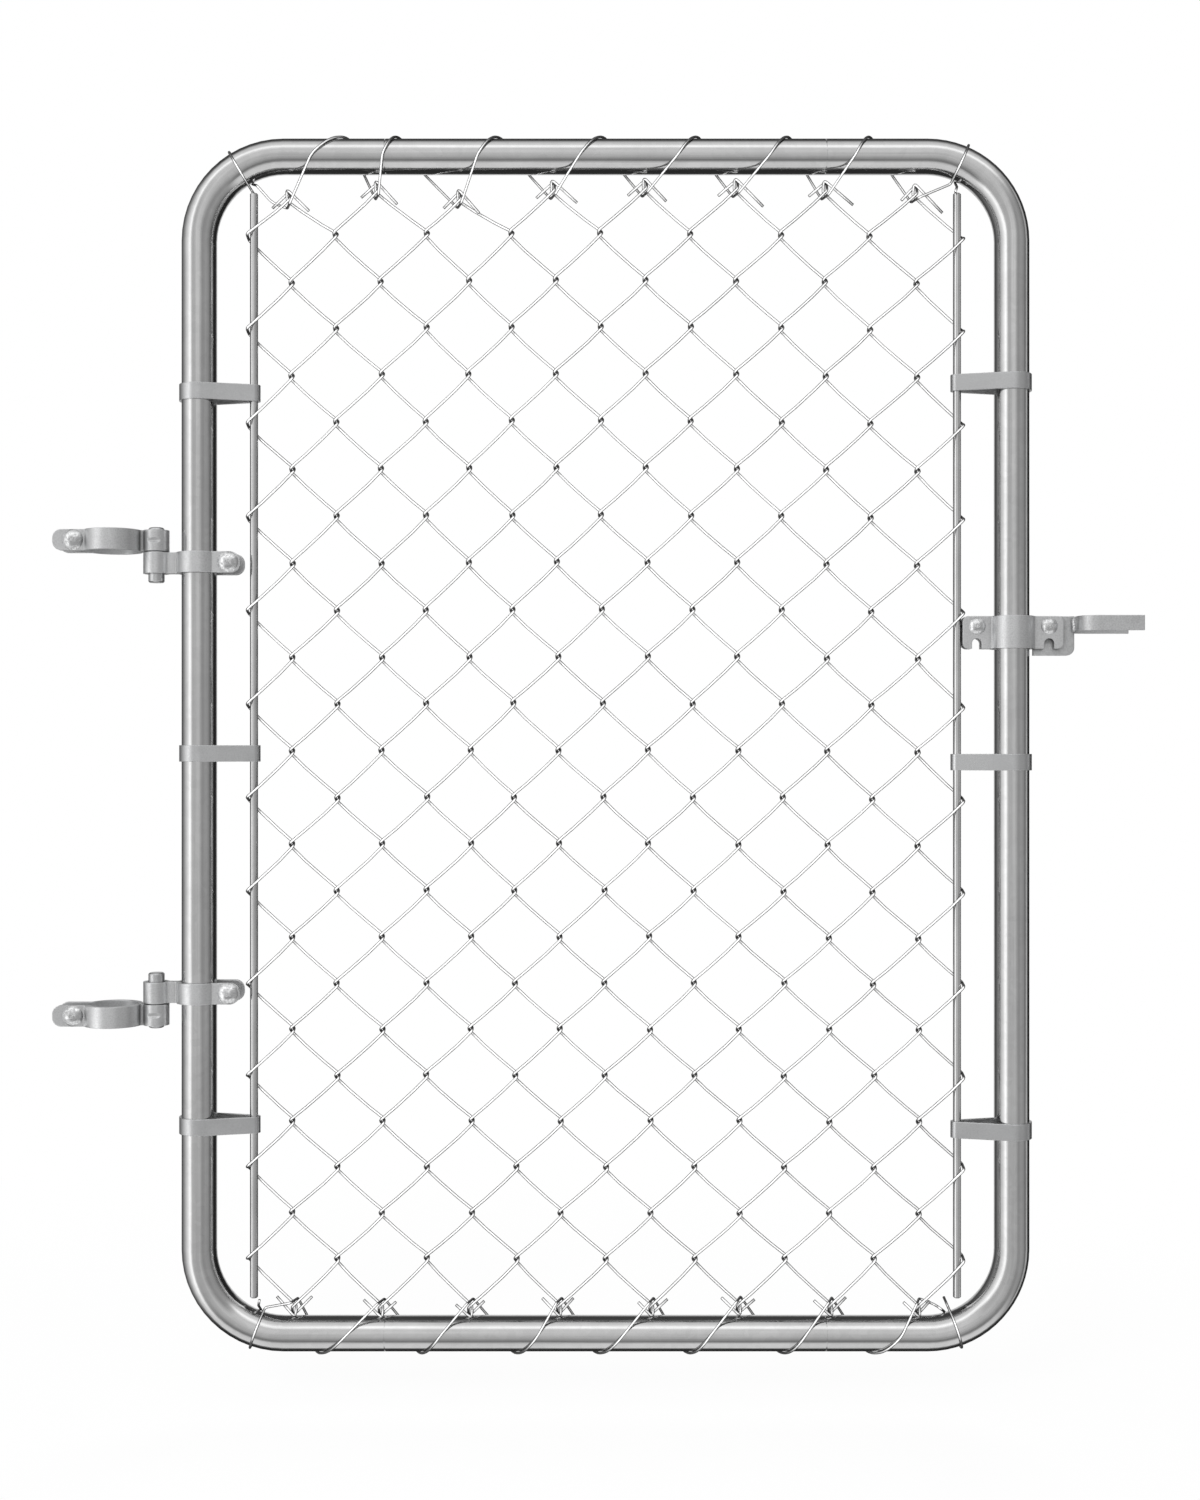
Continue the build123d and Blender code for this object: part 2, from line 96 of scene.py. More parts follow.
class Bench:
    """Adds nodes to one shader tree and joins them up."""

    def __init__(self, tree: Tree) -> None:
        """Take the tree to work on.

        Args:
            tree: The material, world or group tree.
        """
        self.tree = tree

    def add(
        self, kind: str, values: dict[str | int, object] | None = None, **settings: object
    ) -> bpy.types.Node:
        """Add a node, set its properties and feed its inputs.

        Args:
            kind: The node's type name without the leading ShaderNode.
            values: What goes to which input, by the input's name or number.
            **settings: Properties of the node.

        Returns:
            The new node.
        """
        node = self.tree.nodes.new("ShaderNode" + kind)
        for name, value in settings.items():
            setattr(node, name, value)
        for key, value in (values or {}).items():
            self.put(node.inputs[key], value)
        return node

    def put(self, socket: Socket, value: object) -> None:
        """Link an output to a socket, or set the socket's own value.

        Args:
            socket: The input that gets the value.
            value: Another node's output, or a number, vector or colour.
        """
        if isinstance(value, Socket):
            self.tree.links.new(value, socket)
        else:
            socket.default_value = value

    def math(self, operation: str, a: object, b: object = 0.0, c: object = 0.0) -> Socket:
        """One step of arithmetic.

        Args:
            operation: The Math node's operation.
            a: First value or output.
            b: Second value or output.
            c: Third value or output.

        Returns:
            The result's output.
        """
        return self.add("Math", {0: a, 1: b, 2: c}, operation=operation).outputs[0]

    def remap(
        self, value: object, low: float, high: float, to: tuple[float, float] = (0.0, 1.0)
    ) -> Socket:
        """Spread a range over another one, with soft ends.

        Args:
            value: The output to spread.
            low: Where the range starts.
            high: Where it ends.
            to: What the ends become.

        Returns:
            The result's output.
        """
        values = dict(enumerate((value, low, high, *to)))
        return self.add("MapRange", values, interpolation_type="SMOOTHSTEP").outputs[0]

    def blend(self, share: object, a: object, b: object) -> Socket:
        """Mix two colours.

        Args:
            share: How much of the second one shows.
            a: First colour.
            b: Second colour.

        Returns:
            The mixed colour's output.
        """
        return self.add("Mix", {0: share, 6: a, 7: b}, data_type="RGBA").outputs[2]

    def noise(self, place: object, scale: object, detail: float = 3.0, rough: float = 0.5) -> Socket:
        """Cloudy value between 0 and 1.

        Args:
            place: Where on the surface.
            scale: Clouds to a metre.
            detail: Octaves.
            rough: How strong the small octaves are.

        Returns:
            The value's output.
        """
        values = {"Vector": place, "Scale": scale, "Detail": detail, "Roughness": rough}
        return self.add("TexNoise", values).outputs["Fac"]


@dataclass
class Effects:
    """The surface effects that several finishes share, each built once as a group."""

    lengthwise: float = 0.012  # how much slower the drawn lines change along the tube than across it
    crystal_warp: float = 6 * MM
    crystal_warp_scale: float = 90.0
    section: Tree = field(init=False)
    drawn: Tree = field(init=False)
    spangle: Tree = field(init=False)
    pitted: Tree = field(init=False)
    smudge: Tree = field(init=False)

    def __post_init__(self) -> None:
        """Build every group."""
        self.section = self.build_section()
        self.drawn = self.build_drawn()
        self.spangle = self.build_spangle()
        self.pitted = self.build_pitted()
        self.smudge = self.build_smudge()

    def start(
        self, name: str, inputs: dict[str, float | None], outputs: dict[str, float | None]
    ) -> tuple[Bench, dict[str, Socket], dict[str, Socket]]:
        """Make an empty group with its sockets.

        Args:
            name: The group's name.
            inputs: Each input's name with its first value; None stands for a vector.
            outputs: The same for each output.

        Returns:
            The bench for the group, its inputs by name and its outputs by name.
        """
        tree = bpy.data.node_groups.new(name, "ShaderNodeTree")
        for way, sockets in (("INPUT", inputs), ("OUTPUT", outputs)):
            for label, value in sockets.items():
                kind = "NodeSocketVector" if value is None else "NodeSocketFloat"
                socket = tree.interface.new_socket(label, in_out=way, socket_type=kind)
                if value is not None:
                    socket.default_value = value
        given = tree.nodes.new("NodeGroupInput").outputs
        result = tree.nodes.new("NodeGroupOutput").inputs
        return Bench(tree), {s.name: s for s in given}, {s.name: s for s in result}

    def build_section(self) -> Tree:
        """Where a point lies in the frame tube's round section, with a slow way along the tube.

        Returns:
            The group.
        """
        bench, given, result = self.start(
            "tube_section",
            {"Place": None, "Middle X": 0, "Middle Z": 0, "Half Width": 0, "Half Height": 0, "Corner": 0},
            {"Section": None},
        )
        parts = bench.add("SeparateXYZ", {0: given["Place"]})
        beyond = []
        for axis, centre, half in ((0, "Middle X", "Half Width"), (2, "Middle Z", "Half Height")):
            away = bench.math("ABSOLUTE", bench.math("SUBTRACT", parts.outputs[axis], given[centre]))
            straight = bench.math("SUBTRACT", given[half], given["Corner"])
            beyond.append(bench.math("SUBTRACT", away, straight))
        clear = [bench.math("MAXIMUM", part, 0.0) for part in beyond]
        squares = bench.math("ADD", bench.math("POWER", clear[0], 2.0), bench.math("POWER", clear[1], 2.0))
        inside = bench.math("MINIMUM", bench.math("MAXIMUM", beyond[0], beyond[1]), 0.0)
        reach = bench.math("ADD", bench.math("SQRT", squares), inside)
        outward = bench.math("SUBTRACT", reach, given["Corner"])
        along = bench.math("ADD", parts.outputs[0], parts.outputs[2])
        slow = bench.math("MULTIPLY", along, self.lengthwise)
        joined = bench.add("CombineXYZ", {0: outward, 1: parts.outputs[1], 2: slow})
        bench.put(result["Section"], joined.outputs[0])
        return bench.tree

    def build_drawn(self) -> Tree:
        """Fine lines that a tube or bar keeps from the rolls it was drawn through.

        Returns:
            The group.
        """
        bench, given, result = self.start(
            "drawn_lines", {"Section": None, "Lines": 900.0}, {"Tone": 0.0, "Height": 0.0}
        )
        fine = bench.noise(given["Section"], given["Lines"], 2.0)
        wide = bench.noise(given["Section"], bench.math("MULTIPLY", given["Lines"], 0.25), 2.0)
        tone = bench.math("MULTIPLY_ADD", fine, 0.4, bench.math("MULTIPLY", wide, 0.6))
        bench.put(result["Tone"], tone)
        bench.put(result["Height"], fine)
        return bench.tree

    def build_spangle(self) -> Tree:
        """Crystals of the zinc coat: each cell takes a tone of its own.

        Returns:
            The group.
        """
        bench, given, result = self.start(
            "zinc_spangle", {"Place": None, "Scale": 160.0}, {"Tone": 0.0}
        )
        clouds = bench.noise(given["Place"], self.crystal_warp_scale, 2.0)
        values = {0: clouds, 1: (self.crystal_warp,) * 3, 2: given["Place"]}
        warp = bench.add("VectorMath", values, operation="MULTIPLY_ADD")
        values = {"Vector": warp.outputs[0], "Scale": given["Scale"]}
        cells = bench.add("TexVoronoi", values, feature="F1")
        tone = bench.add("SeparateColor", {0: cells.outputs["Color"]})
        bench.put(result["Tone"], tone.outputs[0])
        return bench.tree

    def build_pitted(self) -> Tree:
        """Small pits and lumps of a thick dipped coat.

        Returns:
            The group.
        """
        bench, given, result = self.start(
            "dipped_coat", {"Place": None, "Scale": 700.0}, {"Tone": 0.0, "Height": 0.0}
        )
        grain = bench.noise(given["Place"], given["Scale"], 4.0, 0.6)
        lumps = bench.noise(given["Place"], bench.math("MULTIPLY", given["Scale"], 0.22), 2.0)
        height = bench.math("MULTIPLY_ADD", grain, 0.45, bench.math("MULTIPLY", lumps, 0.55))
        bench.put(result["Tone"], bench.remap(grain, 0.3, 0.7))
        bench.put(result["Height"], height)
        return bench.tree

    def build_smudge(self) -> Tree:
        """Wide uneven patches left by handling and by the way the coat cooled.

        Returns:
            The group.
        """
        bench, given, result = self.start(
            "handling_marks", {"Place": None, "Scale": 14.0}, {"Tone": 0.0}
        )
        clouds = bench.noise(given["Place"], given["Scale"], 5.0, 0.6)
        bench.put(result["Tone"], bench.remap(clouds, 0.3, 0.7))
        return bench.tree


@dataclass(frozen=True)
class ZincFinish:
    """One zinc finish: its tone and gloss, how much of each shared effect it shows, and its painted rim
    shade, edge highlight and crease shade.
    """

    name: str
    tone: tuple[float, float, float]
    rough: float
    rough_swing: float = 0.06
    least_rough: float = 0.05
    least_smudge: float = 0.05
    metal: float = 1.0
    lines: float = 0.0
    line_scale: float = 900.0
    line_depth: float = 0.04 * MM
    spangle: float = 0.0
    spangle_scale: float = 160.0
    coat: float = 0.0
    coat_scale: float = 700.0
    coat_depth: float = 0.0
    smudge: float = 0.08
    # Painted highlight: sharp edges and bends are brightened, partly standing for rubbed edges; the bevel
    # also rounds their normal.
    edge: float = 0.0
    edge_radius: float = 1.2 * MM
    edge_highlight_turn: tuple[float, float] = (0.998, 0.88)
    edge_highlight_tone: Colour = (0.93, 0.94, 0.95, 1.0)
    # Painted shade: a dark outline where a wire's surface turns away from the eye.
    rim: float = 0.0
    rim_shade_turn: tuple[float, float] = (0.03, 0.34)
    rim_shade_tone: Colour = (0.03, 0.03, 0.03, 1.0)
    # Painted shade: creases, the seats of heads and narrow gaps are darkened by ambient occlusion.
    painted_crease_shade: float = 0.0
    crease_shade_reach: float = 7 * MM
    crease_shade_open: tuple[float, float] = (0.3, 0.97)
    crease_shade_tone: Colour = (0.05, 0.05, 0.05, 1.0)

    def make(self, effects: Effects, outline: "FrameOutline") -> bpy.types.Material:
        """Build the material.

        Args:
            effects: The shared groups.
            outline: The centre line of the frame tube, which the drawn lines follow.

        Returns:
            The material.
        """
        material = bpy.data.materials.new(self.name)
        material.use_nodes = True
        material.node_tree.nodes.clear()
        bench = Bench(material.node_tree)
        steel = bench.add("BsdfPrincipled", {"Metallic": self.metal})
        bench.add("OutputMaterial", {"Surface": steel.outputs[0]})
        swing, heights = self.marks(bench, effects, outline)
        level = bench.math("ADD", swing, 1.0)
        colour = bench.add("VectorMath", {0: self.tone, "Scale": level}, operation="SCALE").outputs[0]
        colour, normal = self.wear(bench, colour)
        bench.put(steel.inputs["Base Color"], colour)
        gloss = -self.rough_swing / max(self.smudge, self.least_smudge)
        rough = bench.math("MULTIPLY_ADD", swing, gloss, self.rough)
        bench.put(steel.inputs["Roughness"], bench.math("MAXIMUM", rough, self.least_rough))
        for height, depth in heights:
            bump = bench.add("Bump", {"Strength": 1.0, "Distance": depth, "Height": height})
            if normal is not None:
                bench.put(bump.inputs["Normal"], normal)
            normal = bump.outputs[0]
        if normal is not None:
            bench.put(steel.inputs["Normal"], normal)
        return material

    def marks(
        self, bench: Bench, effects: Effects, outline: "FrameOutline"
    ) -> tuple[Socket, list[tuple[Socket, float]]]:
        """Place the shared effects that this finish shows.

        Args:
            bench: The material's bench.
            effects: The shared groups.
            outline: The centre line of the frame tube.

        Returns:
            How far the tone swings about its middle, and the heights with their depths.
        """
        place = bench.add("TexCoord").outputs["Object"]
        tones = [(self.group(bench, effects.smudge, Place=place)["Tone"], self.smudge)]
        heights = []
        if self.lines:
            section = self.group(bench, effects.section, Place=place, **outline.sockets())["Section"]
            drawn = self.group(bench, effects.drawn, Section=section, Lines=self.line_scale)
            tones.append((drawn["Tone"], self.lines))
            heights.append((drawn["Height"], self.line_depth))
        if self.spangle:
            cells = self.group(bench, effects.spangle, Place=place, Scale=self.spangle_scale)
            tones.append((cells["Tone"], self.spangle))
        if self.coat:
            coat = self.group(bench, effects.pitted, Place=place, Scale=self.coat_scale)
            tones.append((coat["Tone"], self.coat))
            heights.append((coat["Height"], self.coat_depth))
        swing = None
        for tone, share in tones:
            part = bench.math("MULTIPLY", bench.math("SUBTRACT", tone, 0.5), 2 * share)
            swing = part if swing is None else bench.math("ADD", swing, part)
        return swing, heights

    def wear(self, bench: Bench, colour: Socket) -> tuple[Socket, Socket | None]:
        """Paint shade on a wire's rim, round sharp edges and paint a highlight on them, and paint shade in
        creases and narrow gaps.

        Args:
            bench: The material's bench.
            colour: The colour so far.

        Returns:
            The new colour, and the rounded normal on the sharp edges.
        """
        normal = None
        # Painted shade on the rim, by how far the surface turns from the eye.
        if self.rim:
            turned = bench.remap(bench.add("LayerWeight").outputs["Facing"], *self.rim_shade_turn)
            colour = bench.blend(bench.math("MULTIPLY", turned, self.rim), colour, self.rim_shade_tone)
        # Painted highlight on sharp edges and bends, where the bevelled normal leaves the true one; partly
        # standing for rubbed edges.
        if self.edge:
            normal = bench.add("Bevel", {"Radius": self.edge_radius}, samples=4).outputs[0]
            sharp = bench.add("NewGeometry").outputs["Normal"]
            facing = bench.add("VectorMath", {0: normal, 1: sharp}, operation="DOT_PRODUCT")
            painted_edge_highlight = bench.remap(facing.outputs["Value"], *self.edge_highlight_turn)
            colour = bench.blend(bench.math("MULTIPLY", painted_edge_highlight, self.edge), colour, self.edge_highlight_tone)
        # Painted shade in creases and narrow gaps, from ambient occlusion.
        if self.painted_crease_shade:
            crease = bench.add("AmbientOcclusion", {"Distance": self.crease_shade_reach}, samples=6)
            depth = bench.remap(crease.outputs["AO"], *self.crease_shade_open, (1.0, 0.0))
            colour = bench.blend(bench.math("MULTIPLY", depth, self.painted_crease_shade), colour, self.crease_shade_tone)
        return colour, normal

    def group(self, bench: Bench, tree: Tree, **values: object) -> dict[str, Socket]:
        """Place a shared effect with its own values.

        Args:
            bench: Where it goes.
            tree: The group.
            **values: Its inputs, with underscores for spaces.

        Returns:
            Its outputs by name.
        """
        inputs = {name.replace("_", " "): value for name, value in values.items()}
        outputs = bench.add("Group", inputs, node_tree=tree).outputs
        return {socket.name: socket for socket in outputs}


def grey(level: float, cool: float = 0.0) -> tuple[float, float, float]:
    """Grey tone whose blue is a little above its red."""
    return level, level + cool / 2, level + cool


class Finish(Enum):
    """The finishes of the gate, each named for what it covers."""

    # Some finishes below also take painted shade on a wire's rim, a painted highlight on sharp edges and
    # painted shade in creases.
    TUBE = ZincFinish("galvanised_tube", grey(0.70), 0.13, 0.02, lines=0.12, spangle=0.03, smudge=0.04)
    WIRE = ZincFinish(
        "galvanised_wire", grey(0.95), 0.35, 0.03, metal=0.1, coat=0.03, coat_depth=0.02 * MM, rim=0.97
    )
    LACING = ZincFinish(
        "lacing_wire", grey(0.95), 0.35, 0.03, metal=0.1, coat=0.03, coat_depth=0.02 * MM, rim=0.97
    )
    BAR = ZincFinish(
        "tension_bar_zinc", grey(0.74), 0.14, 0.04, coat=0.05, coat_scale=900, coat_depth=0.04 * MM
    )
    BAND = ZincFinish(
        "band_zinc", grey(0.70, 0.01), 0.34, 0.05,
        coat=0.07, coat_scale=1100, coat_depth=0.05 * MM, edge=0.5,
    )
    STRAP = ZincFinish(
        "strap_zinc", grey(0.77, 0.01), 0.40, 0.06,
        coat=0.09, coat_scale=900, coat_depth=0.08 * MM, edge=0.8, painted_crease_shade=0.8,
    )
    PIN = ZincFinish(
        "pin_zinc", grey(0.70, 0.01), 0.34, 0.06,
        coat=0.10, coat_scale=800, coat_depth=0.08 * MM, edge=0.5,
    )
    FASTENER = ZincFinish(
        "fastener_zinc", grey(0.80, 0.01), 0.30, 0.08,
        coat=0.22, coat_scale=420, coat_depth=0.22 * MM, painted_crease_shade=0.9,
    )
    FORK = ZincFinish(
        "fork_zinc", grey(0.74, 0.01), 0.42, 0.06,
        coat=0.10, coat_scale=800, coat_depth=0.1 * MM, edge=0.7, painted_crease_shade=0.85,
    )
    WELD = ZincFinish(
        "weld_zinc", grey(0.86, 0.01), 0.26, 0.08, coat=0.14, coat_scale=500, coat_depth=0.4 * MM
    )


SLOT_FINISH = {
    "galvanised_tube": Finish.TUBE,
    "galvanised_wire": Finish.WIRE,
    "lacing_wire": Finish.LACING,
    "galvanised_bar": Finish.BAR,
    "band_steel": Finish.BAND,
    "strap_steel": Finish.STRAP,
    "pin_steel": Finish.PIN,
    "zinc_fastener": Finish.FASTENER,
    "fork_steel": Finish.FORK,
}


@dataclass
class FrameOutline:
    """Centre line of the frame tube: a rectangle with round corners."""

    corner: float = 85 * MM
    tube: float = 34.9 * MM

    def sockets(self) -> dict[str, float]:
        """The values that the section effect takes, worked out from the side tubes' boxes.

        Returns:
            Socket names, with underscores for spaces, and their values.
        """
        low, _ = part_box("left_side_tube")
        _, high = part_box("right_side_tube")
        centre = (low + high) / 2
        half = (high - low) / 2
        return {
            "Middle_X": centre.x,
            "Middle_Z": centre.z,
            "Half_Width": half.x - self.tube / 2,
            "Half_Height": half.z - self.tube / 2,
            "Corner": self.corner,
        }


class Wardrobe:
    """Holds each finish's material and dresses the nodes of the fixed frame."""

    def __init__(self) -> None:
        """Build the shared effects and every material."""
        effects = Effects()
        outline = FrameOutline()
        self.materials = {finish: finish.value.make(effects, outline) for finish in Finish}

    def dress(self, piece: bpy.types.Object, finish: Finish) -> None:
        """Give a piece its finish.

        Args:
            piece: The object.
            finish: What covers it.
        """
        piece.data.materials.clear()
        piece.data.materials.append(self.materials[finish])

    def dress_frame(self) -> None:
        """Give every node of the fixed frame the finish of its slot."""
        for part in frame["record"]["subparts"]:
            self.dress(frame["nodes"][part["node"]], SLOT_FINISH[part["material_slot"]])
            log.info("dressed %s", part["node"])


class Shape:
    """A mesh in the making: rings of points along a line, and caps on its ends."""

    def __init__(self) -> None:
        """Start with nothing."""
        self.points: list[Vector] = []
        self.faces: list[tuple[int, ...]] = []

    def tube(self, line: list[Vector], radii: list[float], sides: int, closed: bool = False) -> None:
        """Add a round tube that follows a line.

        Args:
            line: Points along its middle.
            radii: Its radius at each point.
            sides: How many flats it has round its section.
            closed: Whether the last point joins the first.
        """
        first = len(self.points)
        count = len(line)
        side = Vector((0, 0, 1))
        for index, point in enumerate(line):
            before = line[index - 1] if index or closed else point
            after = line[(index + 1) % count] if index < count - 1 or closed else point
            way = (after - before).normalized()
            side = side - way * side.dot(way)
            if side.length < 0.05:
                side = way.orthogonal()
            side.normalize()
            other = way.cross(side)
            for step in range(sides):
                angle = 2 * math.pi * step / sides
                offset = side * math.cos(angle) + other * math.sin(angle)
                self.points.append(point + offset * radii[index])
        for ring in range(count if closed else count - 1):
            here = first + ring * sides
            there = first + (ring + 1) % count * sides
            for step in range(sides):
                turn = (step + 1) % sides
                self.faces.append((here + step, here + turn, there + turn, there + step))
        if not closed:
            self.faces.append(tuple(first + step for step in reversed(range(sides))))
            last = first + (count - 1) * sides
            self.faces.append(tuple(last + step for step in range(sides)))

    def piece(self, name: str) -> bpy.types.Object:
        """Make the mesh object.

        Args:
            name: The piece's name.

        Returns:
            The object, shaded smooth and in the scene.
        """
        mesh = bpy.data.meshes.new(name)
        mesh.from_pydata(self.points, [], self.faces)
        mesh.validate()
        mesh.shade_smooth()
        piece = bpy.data.objects.new(name, mesh)
        bpy.context.scene.collection.objects.link(piece)
        return piece


def rounded_line(corners: list[Vector], bends: list[float], steps: int) -> list[Vector]:
    """Points along straight runs that round arcs join.

    Args:
        corners: Where the runs meet, with the two ends.
        bends: The arc's radius at each inner corner.
        steps: How many pieces each arc has.

    Returns:
        The points.
    """
    line = [corners[0]]
    for index in range(1, len(corners) - 1):
        here = corners[index]
        back = corners[index - 1] - here
        ahead = corners[index + 1] - here
        half = (math.pi - back.angle(ahead)) / 2
        reach = min(bends[index - 1] * math.tan(half), 0.48 * min(back.length, ahead.length))
        start = here + back.normalized() * reach
        end = here + ahead.normalized() * reach
        for step in range(steps + 1):
            share = step / steps
            near = start.lerp(here, share)
            far = here.lerp(end, share)
            line.append(near.lerp(far, share))
    line.append(corners[-1])
    return line


@dataclass
class WovenPanel:
    """The woven wire, bent a little unevenly as a real roll is."""

    wire: float = 2.9 * MM
    pickets: int = 16
    runs: int = 24
    hook_reach: float = 1.65 * MM
    hook_rise: float = 1.7 * MM
    depth: float = 3.1 * MM
    knuckle_rise: float = 8.2 * MM
    knuckle_set: float = 2.4 * MM
    tail: float = 30 * MM
    tail_cut: tuple[float, float] = (0.8, 1.1)
    tail_lift: tuple[float, float] = (-7, 3)
    long_tail: float = 1.3
    short_tail: float = 0.85
    bar_play: float = 0.7 * MM
    top_gap: float = 12.6 * MM
    bottom_gap: float = 7.8 * MM
    sag: float = 1.2 * MM
    sag_stops: Steps = ((0.3, 1.0), (0.68, 0.8))
    unevenness: float = 0.3 * MM
    sideways: float = 0.3
    shift: float = 0.7 * MM
    bend: float = 3.6 * MM
    knuckle_bend: float = 2.4 * MM
    run_bend: float = 40 * MM
    sides: int = 10
    seed: int = 12
    top: float = field(init=False)
    rise: float = field(init=False)
    first: float = field(init=False)
    pitch: float = field(init=False)
    bar: float = field(init=False)
    jolts: dict[tuple[int, int], Vector] = field(init=False)
    lean: tuple[float, ...] = (0, -1, -0.5, -5.5, -6, -5, -4, -4, 0)  # sideways at the top, in mm
    lean_end: float = 1.2
    belly: float = 4.0  # how far the rows hang below the even pattern, in mm
    belly_start: float = 0.28
    dish: tuple[float, float] = (5.0, 1.2)
    drift: float = 4.0
    upper_row: Steps = (  # how far each knuckle is off the even pattern, in mm
        (-4.1, -11.0), (-5.0, -2.0), (-12.0, -10.5), (-7.8, -1.5),
        (-5.2, 0.8), (-3.6, 0.4), (-4.0, -2.0), (-3.4, -5.0),
    )
    lower_row: Steps = (
        (1.6, -0.6), (-1.1, -1.4), (-1.2, -1.2), (-1.7, -0.6),
        (1.1, -0.6), (-1.0, 0.7), (1.2, -0.2), (-0.4, -1.2),
    )

    def __post_init__(self) -> None:
        """Work out the panel's place from the tension bars and the rails."""
        chance = random.Random(self.seed + 1)
        self.jolts = {
            (column, row): Vector((chance.uniform(-1, 1), 0, chance.uniform(-1, 1))) * self.shift
            for column in range(self.pickets + 1)
            for row in range(self.runs + 1)
        }
        self.bar = size("left_tension_bar").x / 2
        hook = self.bar + self.bar_play + self.wire / 2
        self.first = middle("left_tension_bar").x - hook
        last = middle("right_tension_bar").x + hook
        self.pitch = (last - self.first) / self.pickets
        self.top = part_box("top_rail")[0].z - self.top_gap
        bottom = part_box("bottom_rail")[1].z + self.bottom_gap
        self.rise = (self.top - bottom) / self.runs

    def build(self) -> bpy.types.Object:
        """Make the whole panel as one mesh.

        Returns:
            The woven panel.
        """
        chance = random.Random(self.seed)
        shape = Shape()
        for picket in range(self.pickets):
            line = self.wire_line(picket, chance)
            shape.tube(line, [self.wire / 2] * len(line), self.sides)
        piece = shape.piece("woven_wire_panel")
        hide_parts("chain_link_mesh")
        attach(piece, Body.LEAF.value)
        return piece

    def knot(self, column: int, row: int) -> Vector:
        """Where two wires hook each other: the even pattern, drawn sideways and sunk as a hung roll is.

        Args:
            column: Which column, from the hinge side.
            row: Which row, from the top.

        Returns:
            The knot's place, at half the panel's depth.
        """
        even = Vector((self.first + self.pitch * column, 0, self.top - self.rise * row))
        if row in (0, self.runs):
            table = self.upper_row if row == 0 else self.lower_row
            across, up = table[column // 2]
            return even + Vector((across, 0, up)) * MM
        u, v = column / self.pickets, row / self.runs
        parts = len(self.lean) - 1
        index = min(int(u * parts), parts - 1)
        across = self.lean[index] + (self.lean[index + 1] - self.lean[index]) * (u * parts - index)
        across *= max(0.0, 1 - self.lean_end * v)
        rim, crown = self.dish
        sunk = self.belly * math.sin(math.pi * (v - self.belly_start) / (1 - self.belly_start))
        sunk += (1 - v) * (rim * (2 * u - 1) ** 2 - crown) + self.drift * (1 - 2 * v)
        jolt = self.jolts[column, row].copy()
        if column in (0, self.pickets):
            jolt.x = 0.0
        return even + Vector((across, 0, -sunk)) * MM + jolt

    def turn(self, picket: int, vertex: int) -> tuple[int, Vector, Vector]:
        """The turn that a wire makes at a knot or round a bar.

        Args:
            picket: Which wire.
            vertex: Which turn, from the top.

        Returns:
            The side it turns on, and the turn's upper and lower corner.
        """
        right = (picket + vertex) % 2 == 0
        side = 1 if right else -1
        column = picket + 1 if right else picket
        place = self.knot(column, vertex)
        reach, depth = self.hook_reach, self.depth
        if column in (0, self.pickets):
            reach, depth = 0.0, self.bar + self.bar_play + self.wire / 2
        over = {0: self.knuckle_rise, self.runs: self.knuckle_set}.get(vertex, self.hook_rise)
        under = {0: self.knuckle_set, self.runs: self.knuckle_rise}.get(vertex, self.hook_rise)
        upper = place + Vector((side * reach, side * depth, over))
        lower = place + Vector((side * reach, -side * depth, -under))
        return side, upper, lower

    def tail_end(self, side: int, corner: Vector, vertical: int, chance: random.Random) -> Vector:
        """End of the short tail that is bent back along its own wire.

        Args:
            side: The side its turn is on.
            corner: The knuckle's corner that it starts from.
            vertical: 1 when it points up, -1 when it points down.
            chance: Where the unevenness comes from.

        Returns:
            The tail's end.
        """
        angle = math.atan2(self.rise, self.pitch) + math.radians(chance.uniform(*self.tail_lift))
        length = self.tail * chance.uniform(*self.tail_cut)
        length *= self.long_tail if side + vertical == -2 else self.short_tail
        across = -side * length * math.cos(angle)
        return corner + Vector((across, 0, vertical * length * math.sin(angle)))

    def wire_line(self, picket: int, chance: random.Random) -> list[Vector]:
        """Middle line of one wire.

        Args:
            picket: Which wire.
            chance: Where the unevenness comes from.

        Returns:
            The points.
        """
        corners: list[Vector] = []
        bends: list[float] = []
        for vertex in range(self.runs + 1):
            side, upper, lower = self.turn(picket, vertex)
            if vertex == 0:
                corners.append(self.tail_end(side, upper, -1, chance))
            else:
                corners += self.bow(corners[-1], upper, chance)
                bends += [self.run_bend] * len(self.sag_stops)
            corners += [upper, lower]
            bends.append(self.knuckle_bend if vertex == 0 else self.bend)
            bends.append(self.knuckle_bend if vertex == self.runs else self.bend)
            if vertex == self.runs:
                corners.append(self.tail_end(side, lower, 1, chance))
        return rounded_line(corners, bends, 4)

    def bow(self, start: Vector, end: Vector, chance: random.Random) -> list[Vector]:
        """Points that let a run sag a little below its straight line.

        Args:
            start: Where the run leaves a turn.
            end: Where it reaches the next one.
            chance: Where the unevenness comes from.

        Returns:
            The points.
        """
        points = []
        for share, depth in self.sag_stops:
            point = start.lerp(end, share)
            sag = self.sag * depth + chance.uniform(-self.unevenness, self.unevenness)
            sway = chance.uniform(-1, 1) * self.sideways * self.unevenness
            points.append(point + Vector((0, sway, -sag)))
        return points


@dataclass(frozen=True)
class Seat:
    """A place on the tube's axis, with the lacing's way, the back of the gate and the way out of it."""

    origin: Vector
    out: Vector

    def at(self, along: float, back: float, outward: float) -> Vector:
        """A point beside the seat.

        Args:
            along: How far along the lacing's way.
            back: How far to the back of the gate.
            outward: How far out of the gate.

        Returns:
            The point.
        """
        way = Vector((self.out.z, 0, -self.out.x))
        return self.origin + way * along + Vector((0, back, 0)) + self.out * outward


